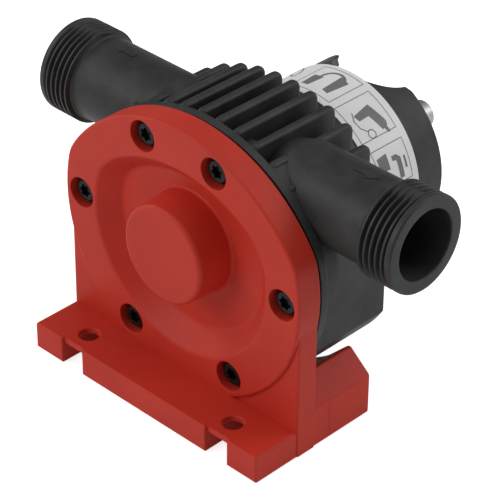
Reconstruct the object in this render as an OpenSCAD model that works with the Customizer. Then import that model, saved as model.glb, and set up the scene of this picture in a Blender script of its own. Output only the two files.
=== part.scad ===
// Self-priming pump driven by a hand drill. A red moulding is cover, foot and cradle in one.
// Six screws hold it to a black ribbed housing with two threaded outlets and a rear skirt.
// Inside are a rubber impeller on a steel shaft, a bush, a shaft seal and a ball bearing.
// Inner frame: origin on the shaft axis in the disc's front plane, X to the right outlet,
// Y to the shaft's tip, Z up. placed() moves it to the middle of the base.

/* [Cover] */
// radius of the cover disc at its sides and below
disc_r = 42; // [41.8:0.1:43]
// radius of the flatter arc on top of the disc
crown_r = 47.1; // [46.5:0.1:48]
// distance of that arc's centre below the shaft
crown_drop = 12.6; // [12:0.1:13.2]
// thickness of the disc
disc_t = 7.7; // [7.5:0.1:8.5]
// width of the upright plate
plate_w = 82.6; // [82:0.1:83.6]
// how far the plate lies behind the disc's face
plate_step = 1.1; // [0.6:0.1:1.6]
// radius of the recess at the disc's face
recess_r = 30.7; // [30:0.1:31]
// radius of the recess at its floor
recess_floor_r = 25.3; // [24:0.1:26]
// radius of the recess's flatter top at the face
recess_crown_r = 43; // [42.5:0.1:43.4]
// radius of the recess's flatter top at the floor
recess_crown_floor_r = 38.4; // [37.5:0.1:39]
// distance of that arc's centre below the shaft
recess_crown_drop = 20; // [19.5:0.1:21]
// depth of the recess
recess_d = 5.2; // [4:0.1:5.4]
// radius of the boss at its front
boss_r = 13.7; // [13:0.1:14]
// radius of the boss at the recess floor
boss_root_r = 14.2; // [13.8:0.1:15]
// how far the boss stands out of the disc
boss_h = 5.8; // [5.2:0.1:8]

/* [Foot] */
// height of the shaft above the floor
axis_h = 45.1; // [44.8:0.1:48]
// width of the foot
foot_w = 82; // [80:0.1:82.4]
// how far the foot reaches in front of the disc
foot_front = 13.5; // [12.5:0.1:16]
// height of the foot
foot_h = 7.9; // [7.6:0.1:9]
// distance of each channel's inner side from the middle
channel_in = 23; // [22:0.1:23.6]
// width of each channel
channel_w = 7.7; // [7:0.1:8.2]
// height of each channel
channel_h = 6.1; // [5:0.1:6.2]
// how far the web over a channel lies behind the foot's front
web_back = 1; // [0.5:0.1:1.5]
// radius of each mounting hole
foot_hole_r = 2.75; // [2.2:0.05:3]
// distance of the mounting holes in front of the disc
foot_hole_y = 7.1; // [6.8:0.1:8]

/* [Cradle] */
// length of the cradle behind the disc
cradle_len = 21; // [16:0.1:24]
// height of the cradle's outer sides
cradle_side_h = 11.7; // [9:0.1:13]
// height of the cradle's ridges
cradle_ridge_h = 17.6; // [16:0.1:18.5]
// distance of each ridge from the middle
cradle_ridge_x = 33.85; // [33:0.05:34.5]
// radius of the hollow that the housing lies in
cradle_r = 43.6; // [43.4:0.1:44]
// radius of the wider hollow next to the disc
cradle_neck_r = 44.2; // [44.1:0.1:44.4]
// length of the wider hollow
cradle_neck = 5.8; // [3:0.1:7]

/* [Screws] */
// distance of the side and lower screws from the shaft
screw_ring_r = 36.05; // [35.8:0.05:36.3]
// angle of the lower screws below the side screws
screw_low_angle = 60; // [58:1:62]
// distance of the upper screws from the middle
screw_top_x = 12.5; // [12:0.1:13]
// height of the upper screws above the shaft
screw_top_z = 27.2; // [26.9:0.1:27.5]
// radius of the screw thread
screw_r = 1.75; // [1.5:0.05:1.9]
// length of the screw under its head
screw_len = 10; // [8:0.5:10.5]
// radius of the screw head
screw_head_r = 3.5; // [3:0.1:3.8]
// height of the screw head
screw_head_h = 2.4; // [2:0.1:2.6]
// depth of the top of the head below the disc's face
screw_sink = 1.25; // [0.8:0.05:1.6]
// radius of the counterbores
counterbore_r = 4.3; // [4.1:0.1:4.4]

/* [Housing] */
// thickness of the gasket
gasket_t = 0.7; // [0.5:0.1:1]
// how far the gasket's edge lies inside the disc's edge
gasket_inset = 1; // [0.6:0.1:1.4]
// how far the housing's edge lies inside the disc's edge
housing_inset = 0.3; // [0.2:0.05:0.5]
// thickness of the housing's flange
flange_t = 2.6; // [2:0.1:3]
// distance of the housing body's rear face behind the disc's face
body_rear = 39.2; // [38.6:0.1:40]
// width of the housing body
body_w = 71.8; // [71:0.1:72.6]
// distance from rib to rib
rib_pitch = 6.11; // [6:0.01:6.2]
// thickness of a rib
rib_t = 2.6; // [1.8:0.1:2.9]
// height above the shaft of the body's sides behind the outlets
side_top = 19.5; // [18.5:0.1:20.5]
// distance of that lower part of the sides behind the disc's face
side_step_y = 27; // [24:0.1:30]
// radius of the pump chamber
chamber_r = 28; // [27.8:0.1:28.2]
// radius of the cam that flattens the chamber's top
cam_r = 41.5; // [41.3:0.1:41.8]
// distance of the cam arc's centre below the shaft
cam_drop = 20; // [19.8:0.1:20.2]
// distance of the chamber's rear wall behind the disc's face
chamber_rear = 34; // [33.8:0.1:34.4]
// wall between the chamber and the slots
core_wall = 4; // [3:0.1:4.4]
// outer radius of the pockets in the housing's rear
pocket_r = 38.4; // [37:0.1:39]
// wall between the chamber and the pockets
pocket_wall = 3.5; // [3:0.1:4]
// thickness of the webs between the pockets
pocket_web = 2.4; // [2:0.1:3]

/* [Outlets] */
// distance of the outlets behind the disc's face
outlet_y = 22.4; // [22.2:0.1:22.8]
// height of the outlets above the shaft
outlet_z = 19.3; // [19:0.1:19.6]
// distance of each outlet's end from the middle
outlet_end = 62; // [61.6:0.1:64]
// outer radius of the outlet pipes
pipe_r = 11.6; // [11.4:0.05:11.8]
// outer radius of the thread
thread_r = 13.22; // [13:0.01:13.4]
// radius at the bottom of the thread
thread_root_r = 12.06; // [11.9:0.01:12.2]
// pitch of the thread
thread_pitch = 1.814; // [1.7:0.001:1.82]
// distance of the first thread crest from the middle
crest_first = 52.1; // [52:0.1:52.3]
// width of a thread crest
crest_w = 0.5; // [0.3:0.05:0.7]
// radius of the plain end behind the thread
collar_r = 13; // [12.6:0.05:13.2]
// chamfer on the outlet's outer end
collar_chamfer = 0.7; // [0.4:0.05:0.9]
// radius of the outlet bore
outlet_bore_r = 9.5; // [9:0.05:9.6]
// radius of the bore's chamfered mouth
outlet_mouth_r = 9.9; // [9.8:0.05:10.4]
// distance of each outlet pipe's inner end, and of the bore's shoulder, from the middle
pipe_in = 38.1; // [38:0.1:40]
// radius of the port from the bore's shoulder to the chamber
port_r = 9; // [8.6:0.05:9.2]
// distance of each port's inner end from the middle
port_in = 18; // [17:0.1:19]

/* [Barrel] */
// radius of the rear barrel
barrel_r = 25.7; // [25.6:0.1:26]
// distance of the barrel's rear end behind the disc's face
barrel_rear = 62.7; // [62:0.1:64]
// outer radius of the rear skirt
skirt_r = 25.4; // [25.2:0.1:25.5]
// inner radius of the rear skirt
skirt_bore_r = 22.3; // [21.5:0.1:22.8]
// distance of the skirt's rim behind the disc's face
skirt_rear = 72.5; // [71:0.1:74]
// radius of the notches in the skirt
notch_r = 12; // [10:0.1:13]
// distance of the notches' centre behind the disc's face
notch_y = 74.2; // [73:0.1:76]
// radius of the bearing hub in the skirt
hub_r = 14.5; // [13.5:0.1:16]
// distance of the hub's rear end behind the disc's face
hub_rear = 54.2; // [53.8:0.1:56]
// distance of the skirt's inner floor behind the disc's face
skirt_floor = 46; // [44:0.1:48]

/* [Label] */
// distance of the label's front edge behind the disc's face
label_front = 45.8; // [44:0.1:47]
// distance of the label's rear edge behind the disc's face
label_rear = 62.6; // [61:0.1:62.7]
// thickness of the label
label_t = 0.25; // [0.15:0.05:0.4]
// angle round the barrel that the label covers
label_angle = 220; // [160:1:300]

/* [Shaft] */
// radius of the shaft
shaft_r = 4; // [3.9:0.05:4]
// distance of the shaft's tip behind the disc's face
shaft_rear = 94.9; // [90:0.1:100]
// distance of the shaft's inner end in front of the disc's face
shaft_front = 1.5; // [1:0.1:2]
// chamfer on the shaft's ends
shaft_chamfer = 0.9; // [0.4:0.1:1.2]
// radius of the drive pin
pin_r = 1.25; // [1:0.05:1.4]
// running clearance round the shaft
run_gap = 0.05; // [0.02:0.01:0.08]

/* [Impeller] */
// radius of the brass insert
insert_r = 7; // [6.8:0.1:7.2]
// radius of the impeller's rubber hub
rubber_hub_r = 11; // [10.5:0.1:11.5]
// thickness of a vane
vane_t = 2.6; // [2.2:0.1:3]
// radius of the bead on a vane's tip
bead_r = 2.2; // [1.8:0.1:2.4]
// gap between the impeller and the chamber's sides
side_gap = 0.4; // [0.3:0.05:0.6]

/* [Bearing] */
// outer radius of the bearing
bearing_r = 11; // [11:0.1:11.2]
// width of the bearing
bearing_w = 7; // [7:0.1:7.2]
// distance of the bearing's front face behind the disc's face
bearing_y = 45; // [45:0.1:45.4]
// radius of the circle of balls
ball_ring_r = 7.5; // [7.5:0.01:7.52]
// radius of a ball
ball_r = 1.98; // [1.95:0.01:1.99]
// outer radius of the inner ring
inner_ring_r = 6.1; // [6:0.05:6.2]
// inner radius of the outer ring
outer_ring_bore_r = 8.9; // [8.8:0.05:9]

/* [Seal] */
// outer radius of the shaft seal
seal_r = 9; // [9:0.1:9.2]
// width of the shaft seal
seal_w = 7; // [7:0.1:7.2]
// distance of the seal's front face behind the disc's face
seal_y = 37; // [37:0.1:37.4]

/* [Hidden] */
$fn = 96;
over = 0.5;
seat_gap = 0.05;
fit_gap = 0.02;
y_mid = (shaft_rear - foot_front) / 2;
housing_y = disc_t + gasket_t;
slot_y = housing_y + flange_t;
slot_w = rib_pitch - rib_t;
rib_gaps = 9;
side_in = rib_gaps / 2 * rib_pitch + rib_t / 2;
thread_crests = 5;
channel_mid = channel_in + channel_w / 2;
screw_hole_r = screw_r + seat_gap;
screw_seat_y = screw_sink + screw_head_h;
screw_boss_r = 3.4;
screw_boss_len = 1.2;
screw_tip = 1.4;
socket_r = 1.9;
socket_bore_r = 1.35;
socket_d = 1.3;
socket_w = 0.75;
dome_cut = 0.7;
bush_r = 6;
bush_front = 2;
bush_rear = 6.8;
bush_pocket = 0.8;
washer_r = 7;
washer_t = 1;
washer_stand = 0.2;
washer_gap = 0.2;
shaft_hole_r = 4.6;
insert_gap = 0.4;
pin_y = 20.5;
pin_short = 0.4;
vane_reach_share = 0.96;
vanes = 6;
lean = 3;
knee_share = [0.06, 0.53];
bent_share = [0.33, 0.64];
clip_t = 1.1;
clip_gap = 0.1;
bore_clip_r = 9.7;
bore_clip_groove_r = 11.7;
shaft_clip_r = 5.4;
shaft_groove_r = 3.7;
clip_slit = 3;
groove_gap = 0.05;
balls = 7;
cage_t = 1.2;
cage_w = 4.9;
cage_gap = 0.1;
shield_t = 0.35;
shield_in = 0.3;
shield_step = 0.5;
shield_run = 0.25;
case_t = 0.8;
case_hole_r = 5.6;
lip_r = 5.4;
lip_tip_w = 0.5;
lip_root = 1.2;
lip_y = 1.6;
spring_r = 0.6;
port_wall = 2;
pocket_front = 4;
pocket_top = 8;
red = [0.69, 0.15, 0.12];
black = [0.13, 0.13, 0.13];
steel = [0.72, 0.72, 0.74];
white = [0.88, 0.88, 0.88];
brass_tone = [0.78, 0.62, 0.3];
rubber_tone = [0.07, 0.07, 0.07];
sheet_tone = [0.55, 0.56, 0.58];
blackened = [0.16, 0.16, 0.17];
nylon_tone = [0.86, 0.84, 0.76];

screw_at = [
  [screw_top_x, screw_top_z],
  [-screw_top_x, screw_top_z],
  [-screw_ring_r, 0],
  [-screw_ring_r * cos(screw_low_angle), -screw_ring_r * sin(screw_low_angle)],
  [screw_ring_r * cos(screw_low_angle), -screw_ring_r * sin(screw_low_angle)],
  [screw_ring_r, 0]
];

module placed() {
  translate([0, -y_mid, axis_h])
    children();
}

// a flat profile in X and Z, drawn from y0 to y1
module along_y(y0, y1) {
  translate([0, y1, 0])
    rotate([90, 0, 0])
      linear_extrude(height = y1 - y0)
        children();
}

// a round body about the shaft axis from y0 to y1
module turned(y0, y1, r0, r1) {
  translate([0, y0, 0])
    rotate([-90, 0, 0])
      cylinder(h = y1 - y0, r1 = r0, r2 = r1);
}

module ring(y0, y1, r_in, r_out) {
  difference() {
    turned(y0, y1, r_out, r_out);
    turned(y0 - over, y1 + over, r_in, r_in);
  }
}

// a profile of radius and depth, spun about the shaft axis
module spun() {
  rotate([-90, 0, 0])
    rotate_extrude()
      children();
}

module outline(inset) {
  intersection() {
    circle(r = disc_r - inset);
    translate([0, -crown_drop])
      circle(r = crown_r - inset);
  }
}

module chamber_profile(wall) {
  intersection() {
    circle(r = chamber_r + wall);
    translate([0, -cam_drop])
      circle(r = cam_r + wall);
  }
}

module recess() {
  slope = (recess_r - recess_floor_r) / recess_d;
  crown_slope = (recess_crown_r - recess_crown_floor_r) / recess_d;
  intersection() {
    turned(-over, recess_d, recess_r + slope * over, recess_floor_r);
    translate([0, 0, -recess_crown_drop])
      turned(-over, recess_d, recess_crown_r + crown_slope * over, recess_crown_floor_r);
  }
}

module cradle_profile() {
  difference() {
    polygon([
      [-foot_w / 2, -axis_h],
      [foot_w / 2, -axis_h],
      [foot_w / 2, cradle_side_h - axis_h],
      [cradle_ridge_x, cradle_ridge_h - axis_h],
      [-cradle_ridge_x, cradle_ridge_h - axis_h],
      [-foot_w / 2, cradle_side_h - axis_h]
    ]);
    circle(r = cradle_r);
  }
}

module screw_holes(y0, y1, r) {
  for (at = screw_at)
    translate([at[0], 0, at[1]])
      turned(y0, y1, r, r);
}

module channels(y0, y1) {
  for (side = [-1, 1])
    translate([side * channel_mid - channel_w / 2, y0 - over, -axis_h - over])
      cube([channel_w, y1 - y0 + 2 * over, channel_h + over]);
}

module front_cover() {
  color(red)
  placed()
  difference() {
    union() {
      difference() {
        union() {
          along_y(0, disc_t)
            outline(0);
          translate([-plate_w / 2, plate_step, -axis_h])
            cube([plate_w, disc_t - plate_step, axis_h]);
          translate([-foot_w / 2, -foot_front, -axis_h])
            cube([foot_w, foot_front + disc_t, foot_h]);
        }
        recess();
      }
      turned(-boss_h, recess_d + over, boss_r, boss_root_r);
    }
    // channels under the foot, and the mounting holes over them
    channels(-foot_front, disc_t);
    for (side = [-1, 1]) {
      translate([side * channel_mid - channel_w / 2, -foot_front - over, -axis_h])
        cube([channel_w, web_back + over, foot_h + over]);
      translate([side * channel_mid, -foot_hole_y, -axis_h])
        cylinder(h = foot_h + over, r = foot_hole_r);
    }
    // screw seats, bush pocket and washer seat
    screw_holes(-over, screw_seat_y, counterbore_r);
    screw_holes(0, disc_t + over, screw_hole_r);
    turned(-bush_front - bush_pocket, disc_t + over, bush_r + fit_gap, bush_r + fit_gap);
    turned(disc_t + washer_stand - washer_t, disc_t + over, washer_r + seat_gap, washer_r + seat_gap);
  }
}

module cover_cradle() {
  color(red)
  placed()
  difference() {
    along_y(disc_t, disc_t + cradle_len)
      cradle_profile();
    turned(disc_t - over, disc_t + cradle_neck, cradle_neck_r, cradle_neck_r);
    channels(disc_t, disc_t + cradle_len);
  }
}

module cover_gasket() {
  color(rubber_tone)
  placed()
  difference() {
    along_y(disc_t, housing_y)
      outline(gasket_inset);
    along_y(disc_t - over, housing_y + over)
      chamber_profile(0);
    screw_holes(disc_t - over, housing_y + over, screw_hole_r);
  }
}

// a round body along an outlet's axis
module along_x(x0, x1, r0, r1) {
  translate([x0, outlet_y, outlet_z])
    rotate([0, 90, 0])
      cylinder(h = x1 - x0, r1 = r0, r2 = r1);
}

module outlet_outside() {
  crests = [for (i = [0:thread_crests - 1]) crest_first + i * thread_pitch];
  profile = concat(
    [[0, pipe_in], [pipe_r, pipe_in]],
    [[pipe_r, crest_first - thread_pitch]],
    [for (c = crests) each [
      [thread_root_r, c - thread_pitch / 2],
      [thread_r, c - crest_w / 2],
      [thread_r, c + crest_w / 2]
    ]],
    [[thread_root_r, crests[thread_crests - 1] + thread_pitch / 2]],
    [[collar_r, crests[thread_crests - 1] + thread_pitch * 3 / 4]],
    [[collar_r, outlet_end - collar_chamfer]],
    [[collar_r - collar_chamfer, outlet_end]],
    [[0, outlet_end]]
  );
  translate([0, outlet_y, outlet_z])
    rotate([0, 90, 0])
      rotate_extrude()
        polygon(profile);
}

module outlet_pipe() {
  mouth = outlet_mouth_r - outlet_bore_r;
  difference() {
    outlet_outside();
    along_x(pipe_in - over, outlet_end + over, outlet_bore_r, outlet_bore_r);
    along_x(outlet_end - mouth, outlet_end + over, outlet_bore_r, outlet_mouth_r + over);
  }
}

module outlet_right() {
  color(black)
  placed()
  outlet_pipe();
}

module outlet_left() {
  color(black)
  placed()
  mirror([1, 0, 0])
    outlet_pipe();
}

module pockets() {
  difference() {
    along_y(slot_y + pocket_front, body_rear + over)
      intersection() {
        difference() {
          circle(r = pocket_r);
          circle(r = chamber_r + pocket_wall);
        }
        translate([-body_w / 2 + pocket_web, -disc_r])
          square([body_w - 2 * pocket_web, disc_r - pocket_top]);
      }
    for (a = [0, 60, 120])
      rotate([0, a, 0])
        translate([-pocket_web / 2, 0, -disc_r])
          cube([pocket_web, body_rear + 2 * over, 2 * disc_r]);
    for (at = screw_at)
      translate([at[0], 0, at[1]])
        turned(0, body_rear + 2 * over, screw_boss_r + over, screw_boss_r + over);
  }
}

module body_shell() {
  difference() {
    along_y(slot_y - over, body_rear)
      intersection() {
        outline(housing_inset);
        translate([-body_w / 2, -disc_r])
          square([body_w, 2 * disc_r]);
      }
    for (i = [0:rib_gaps - 1])
      translate([(i - (rib_gaps - 1) / 2) * rib_pitch - slot_w / 2, slot_y, 0])
        cube([slot_w, body_rear, disc_r]);
    // behind the outlets the sides are lower than the ribs
    for (side = [0, 1])
      mirror([side, 0, 0])
        translate([side_in, side_step_y, side_top])
          cube([disc_r, body_rear, disc_r]);
    pockets();
  }
}

module pump_housing() {
  color(black)
  placed()
  difference() {
    union() {
      along_y(housing_y, slot_y)
        outline(housing_inset);
      body_shell();
      along_y(slot_y - over, body_rear)
        chamber_profile(core_wall);
      screw_holes(housing_y, slot_y + screw_len - disc_t + screw_boss_len, screw_boss_r);
      for (side = [0, 1])
        mirror([side, 0, 0])
          along_x(port_in - port_wall, pipe_in, pipe_r, pipe_r);
    }
    along_y(housing_y - over, chamber_rear)
      chamber_profile(0);
    for (side = [0, 1])
      mirror([side, 0, 0])
        along_x(port_in, pipe_in + over, port_r, port_r);
    screw_holes(housing_y - over, screw_seat_y + screw_len + seat_gap, screw_hole_r);
    // seats of the shaft, washer and seal
    turned(chamber_rear - over, seal_y + over, shaft_hole_r, shaft_hole_r);
    turned(chamber_rear - over, chamber_rear + washer_t - washer_stand, washer_r + seat_gap,
      washer_r + seat_gap);
    turned(seal_y, body_rear + over, seal_r + fit_gap, seal_r + fit_gap);
  }
}

module rear_barrel() {
  color(black)
  placed()
  difference() {
    union() {
      turned(body_rear, barrel_rear, barrel_r, barrel_r);
      turned(barrel_rear - over, skirt_rear, skirt_r, skirt_r);
    }
    // skirt's hollow round the bearing hub
    ring(skirt_floor, skirt_rear + over, hub_r, skirt_bore_r);
    turned(hub_rear, skirt_rear + over, hub_r + over, hub_r + over);
    for (side = [0, 1])
      mirror([0, 0, side])
        translate([0, notch_y, 0])
          cylinder(h = skirt_r + over, r = notch_r);
    // seats of the seal, bearing and circlip
    turned(body_rear - over, bearing_y + over, seal_r + fit_gap, seal_r + fit_gap);
    turned(bearing_y, hub_rear + over, bearing_r + fit_gap, bearing_r + fit_gap);
    turned(bearing_y + bearing_w + groove_gap, bearing_y + bearing_w + clip_t + 3 * groove_gap,
      bore_clip_groove_r, bore_clip_groove_r);
  }
}

module wrap_label() {
  half_gap = 180 - label_angle / 2;
  far = 2 * barrel_r;
  color(white)
  placed()
  difference() {
    ring(label_front, label_rear, barrel_r, barrel_r + label_t);
    along_y(label_front - over, label_rear + over)
      polygon([
        [0, 0],
        [-far * sin(half_gap), -far * cos(half_gap)],
        [-far * sin(half_gap), -far],
        [far * sin(half_gap), -far],
        [far * sin(half_gap), -far * cos(half_gap)]
      ]);
  }
}

module cover_screw(at) {
  color(blackened)
  placed()
  translate([at[0], 0, at[1]])
  difference() {
    union() {
      turned(screw_sink, screw_sink + dome_cut, screw_head_r - dome_cut, screw_head_r);
      turned(screw_sink + dome_cut, screw_seat_y, screw_head_r, screw_head_r);
      turned(screw_seat_y - over, screw_seat_y + screw_len - screw_tip, screw_r, screw_r);
      turned(screw_seat_y + screw_len - screw_tip, screw_seat_y + screw_len, screw_r, screw_r / 2);
    }
    // six-lobed socket
    turned(0, screw_sink + socket_d, socket_bore_r, socket_bore_r);
    for (a = [0, 60, 120])
      rotate([0, a, 0])
        translate([-socket_r, 0, -socket_w / 2])
          cube([2 * socket_r, screw_sink + socket_d, socket_w]);
  }
}

module screw_top_right() {
  cover_screw(screw_at[0]);
}

module screw_top_left() {
  cover_screw(screw_at[1]);
}

module screw_left() {
  cover_screw(screw_at[2]);
}

module screw_low_left() {
  cover_screw(screw_at[3]);
}

module screw_low_right() {
  cover_screw(screw_at[4]);
}

module screw_right() {
  cover_screw(screw_at[5]);
}

module drive_shaft() {
  color(steel)
  placed()
  difference() {
    union() {
      turned(-shaft_front, shaft_chamfer - shaft_front, shaft_r - shaft_chamfer, shaft_r);
      turned(shaft_chamfer - shaft_front, shaft_rear - shaft_chamfer, shaft_r, shaft_r);
      turned(shaft_rear - shaft_chamfer, shaft_rear, shaft_r, shaft_r - shaft_chamfer);
    }
    ring(bearing_y + bearing_w + groove_gap, bearing_y + bearing_w + clip_t + 3 * groove_gap,
      shaft_groove_r, shaft_r + over);
    translate([-shaft_r - over, pin_y, 0])
      rotate([0, 90, 0])
        cylinder(h = 2 * shaft_r + 2 * over, r = pin_r + fit_gap);
  }
}

module impeller() {
  reach = chamber_r * vane_reach_share - bead_r;
  knee = chamber_r * knee_share;
  bent = chamber_r * bent_share;
  rise = atan2(bent[1] - knee[1], bent[0] - knee[0]);
  run = norm(bent - knee);
  color(rubber_tone)
  placed()
  along_y(disc_t + side_gap, chamber_rear - side_gap)
  difference() {
    union() {
      circle(r = rubber_hub_r);
      for (a = [30 - lean, 150 + lean, 210, 270, 330])
        rotate(a) {
          translate([0, -vane_t / 2])
            square([reach, vane_t]);
          translate([reach, 0])
            circle(r = bead_r);
        }
      // the vane that the cam bends over
      rotate(atan2(knee[1], knee[0]))
        translate([0, -vane_t / 2])
          square([norm(knee), vane_t]);
      translate(knee)
        circle(r = vane_t / 2);
      translate(knee)
        rotate(rise)
          translate([0, -vane_t / 2])
            square([run, vane_t]);
      translate(bent)
        circle(r = bead_r);
    }
    circle(r = insert_r + fit_gap);
  }
}

module impeller_insert() {
  color(brass_tone)
  placed()
  difference() {
    ring(disc_t + insert_gap, chamber_rear - insert_gap, shaft_r + fit_gap, insert_r);
    translate([-insert_r - over, pin_y, 0])
      rotate([0, 90, 0])
        cylinder(h = 2 * insert_r + 2 * over, r = pin_r + fit_gap);
  }
}

module drive_pin() {
  color(steel)
  placed()
  translate([pin_short - insert_r, pin_y, 0])
    rotate([0, 90, 0])
      cylinder(h = 2 * insert_r - 2 * pin_short, r = pin_r);
}

module front_bush() {
  color(brass_tone)
  placed()
  ring(-bush_front, bush_rear - seat_gap, shaft_r + run_gap, bush_r);
}

module front_washer() {
  color(nylon_tone)
  placed()
  ring(disc_t + washer_stand - washer_t, disc_t + washer_stand, shaft_r + washer_gap, washer_r);
}

module rear_washer() {
  color(nylon_tone)
  placed()
  ring(chamber_rear - washer_stand, chamber_rear + washer_t - washer_stand, shaft_r + washer_gap,
    washer_r);
}

module seal_case() {
  color(sheet_tone)
  placed()
  union() {
    ring(seal_y, seal_y + seal_w, seal_r - case_t, seal_r);
    ring(seal_y + seal_w - case_t, seal_y + seal_w, case_hole_r, seal_r - case_t / 2);
  }
}

module seal_lip() {
  wall = seal_r - case_t - fit_gap;
  back = seal_y + seal_w - case_t;
  edge = shaft_r + run_gap;
  color(rubber_tone)
  placed()
  spun()
    polygon([
      [wall, back],
      [wall, back - lip_root],
      [lip_r + lip_root, back - lip_root],
      [lip_r, back - 2 * lip_root],
      [lip_r, seal_y + spring_r],
      [edge + lip_tip_w, seal_y + spring_r],
      [edge, seal_y + lip_y],
      [edge, seal_y + lip_y + lip_tip_w],
      [edge + lip_tip_w, back - lip_root],
      [edge + lip_tip_w, back]
    ]);
}

module seal_spring() {
  color(steel)
  placed()
  spun()
    translate([lip_r + spring_r + fit_gap, seal_y + lip_y])
      circle(r = spring_r);
}

module ball_track() {
  spun()
    translate([ball_ring_r, bearing_y + bearing_w / 2])
      circle(r = ball_r + fit_gap);
}

module bearing_outer_ring() {
  color(steel)
  placed()
  difference() {
    ring(bearing_y, bearing_y + bearing_w, outer_ring_bore_r, bearing_r);
    ball_track();
    turned(bearing_y - over, bearing_y + shield_in + shield_t, outer_ring_bore_r + shield_step,
      outer_ring_bore_r + shield_step);
    turned(bearing_y + bearing_w - shield_in - shield_t, bearing_y + bearing_w + over,
      outer_ring_bore_r + shield_step, outer_ring_bore_r + shield_step);
  }
}

module bearing_inner_ring() {
  color(steel)
  placed()
  difference() {
    ring(bearing_y, bearing_y + bearing_w, shaft_r + fit_gap, inner_ring_r);
    ball_track();
  }
}

module at_balls() {
  for (i = [0:balls - 1])
    rotate([0, i * 360 / balls, 0])
      translate([0, bearing_y + bearing_w / 2, ball_ring_r])
        children();
}

module bearing_balls() {
  color(steel)
  placed()
  at_balls()
    sphere(r = ball_r, $fn = 32);
}

module bearing_cage() {
  mid = bearing_y + bearing_w / 2;
  color(brass_tone)
  placed()
  difference() {
    ring(mid - cage_w / 2, mid + cage_w / 2, ball_ring_r - cage_t / 2, ball_ring_r + cage_t / 2);
    at_balls()
      sphere(r = ball_r + cage_gap, $fn = 32);
  }
}

module shield(y0) {
  color(sheet_tone)
  placed()
  ring(y0, y0 + shield_t, inner_ring_r + shield_run, outer_ring_bore_r + shield_step - fit_gap);
}

module bearing_front_shield() {
  shield(bearing_y + shield_in);
}

module bearing_rear_shield() {
  shield(bearing_y + bearing_w - shield_in - shield_t);
}

module bore_circlip() {
  y0 = bearing_y + bearing_w + 2 * groove_gap;
  color(blackened)
  placed()
  difference() {
    ring(y0, y0 + clip_t, bore_clip_r, bore_clip_groove_r - clip_gap);
    translate([-clip_slit / 2, y0 - over, 0])
      cube([clip_slit, clip_t + 2 * over, bore_clip_groove_r + over]);
  }
}

module shaft_circlip() {
  y0 = bearing_y + bearing_w + 2 * groove_gap;
  color(blackened)
  placed()
  difference() {
    ring(y0, y0 + clip_t, shaft_groove_r + groove_gap, shaft_clip_r);
    translate([-clip_slit / 2, y0 - over, 0])
      cube([clip_slit, clip_t + 2 * over, shaft_clip_r + over]);
  }
}

front_cover();
cover_cradle();
cover_gasket();
pump_housing();
outlet_right();
outlet_left();
rear_barrel();
wrap_label();
screw_top_right();
screw_top_left();
screw_left();
screw_low_left();
screw_low_right();
screw_right();
drive_shaft();
impeller();
impeller_insert();
drive_pin();
front_bush();
front_washer();
rear_washer();
seal_case();
seal_lip();
seal_spring();
bearing_outer_ring();
bearing_inner_ring();
bearing_balls();
bearing_cage();
bearing_front_shield();
bearing_rear_shield();
bore_circlip();
shaft_circlip();
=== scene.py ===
import math

import bmesh
import bpy
from mathutils import Matrix, Vector
from mathutils.geometry import delaunay_2d_cdt


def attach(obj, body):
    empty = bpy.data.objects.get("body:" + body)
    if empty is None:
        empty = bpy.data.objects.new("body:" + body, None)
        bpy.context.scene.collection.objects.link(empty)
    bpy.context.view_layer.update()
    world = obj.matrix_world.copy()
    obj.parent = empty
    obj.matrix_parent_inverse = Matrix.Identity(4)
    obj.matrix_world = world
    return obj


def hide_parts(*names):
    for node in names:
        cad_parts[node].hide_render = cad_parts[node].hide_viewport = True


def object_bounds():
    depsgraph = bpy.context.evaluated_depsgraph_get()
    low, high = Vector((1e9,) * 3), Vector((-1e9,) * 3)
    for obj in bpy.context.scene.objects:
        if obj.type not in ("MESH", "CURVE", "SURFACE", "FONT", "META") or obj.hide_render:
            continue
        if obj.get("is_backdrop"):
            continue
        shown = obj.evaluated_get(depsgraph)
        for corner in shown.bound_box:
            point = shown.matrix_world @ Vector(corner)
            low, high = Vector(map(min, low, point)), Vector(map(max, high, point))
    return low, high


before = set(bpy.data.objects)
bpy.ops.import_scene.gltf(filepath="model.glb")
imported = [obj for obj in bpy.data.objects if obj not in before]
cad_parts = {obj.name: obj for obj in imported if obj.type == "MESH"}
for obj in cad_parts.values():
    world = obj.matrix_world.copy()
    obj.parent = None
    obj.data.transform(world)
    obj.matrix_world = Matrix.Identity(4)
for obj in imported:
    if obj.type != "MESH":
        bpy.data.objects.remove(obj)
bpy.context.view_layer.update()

# ---------------------------------------------------------------- red cover
# One injection moulding of red polyamide: the cover disc with its dished face and
# boss, the upright plate, the foot with two bolt holes and two channels, and the
# cradle that the housing lies in. Six screws clamp it to the housing.

MM = 0.001
SHAFT_HEIGHT, MIDDLE_Y = 45.1, 40.7
AROUND = 288

DISC_R, CROWN_R, CROWN_DROP = 42.0, 47.1, 12.6
DISC_T = 7.7
DISH_R, DISH_FLOOR_R, DISH_DEPTH, DISH_LIP = 30.7, 25.3, 5.2, 0.75
DISH_CROWN_R, DISH_CROWN_FLOOR_R, DISH_CROWN_DROP = 43.0, 38.4, 20.0
BOSS_R, BOSS_ROOT_R, BOSS_STANDS = 13.7, 14.2, 5.8
SCREW_PLACES = [(12.5, 27.2), (-12.5, 27.2), (-36.05, 0.0), (-18.03, -31.22), (18.03, -31.22), (36.05, 0.0)]
SCREW_SEAT, SEAT_BORE_R, SCREW_HOLE_R = 3.65, 4.3, 1.8
WASHER_SEAT_R, WASHER_SEAT, BUSH_BORE_R, BUSH_BORE_END = 7.05, 6.9, 6.02, -2.8
PLATE_HALF, PLATE_TOP, PLATE_ARC_R, PLATE_FRONT = 41.3, -7, 40.4, 1.1
FOOT_HALF, FOOT_FRONT, FOOT_TOP, FOOT_ROUND = 41.0, -13.5, -37.2, 0.7
CHANNEL = (23.0, 30.7)
CHANNEL_TOP = -39.0
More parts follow.
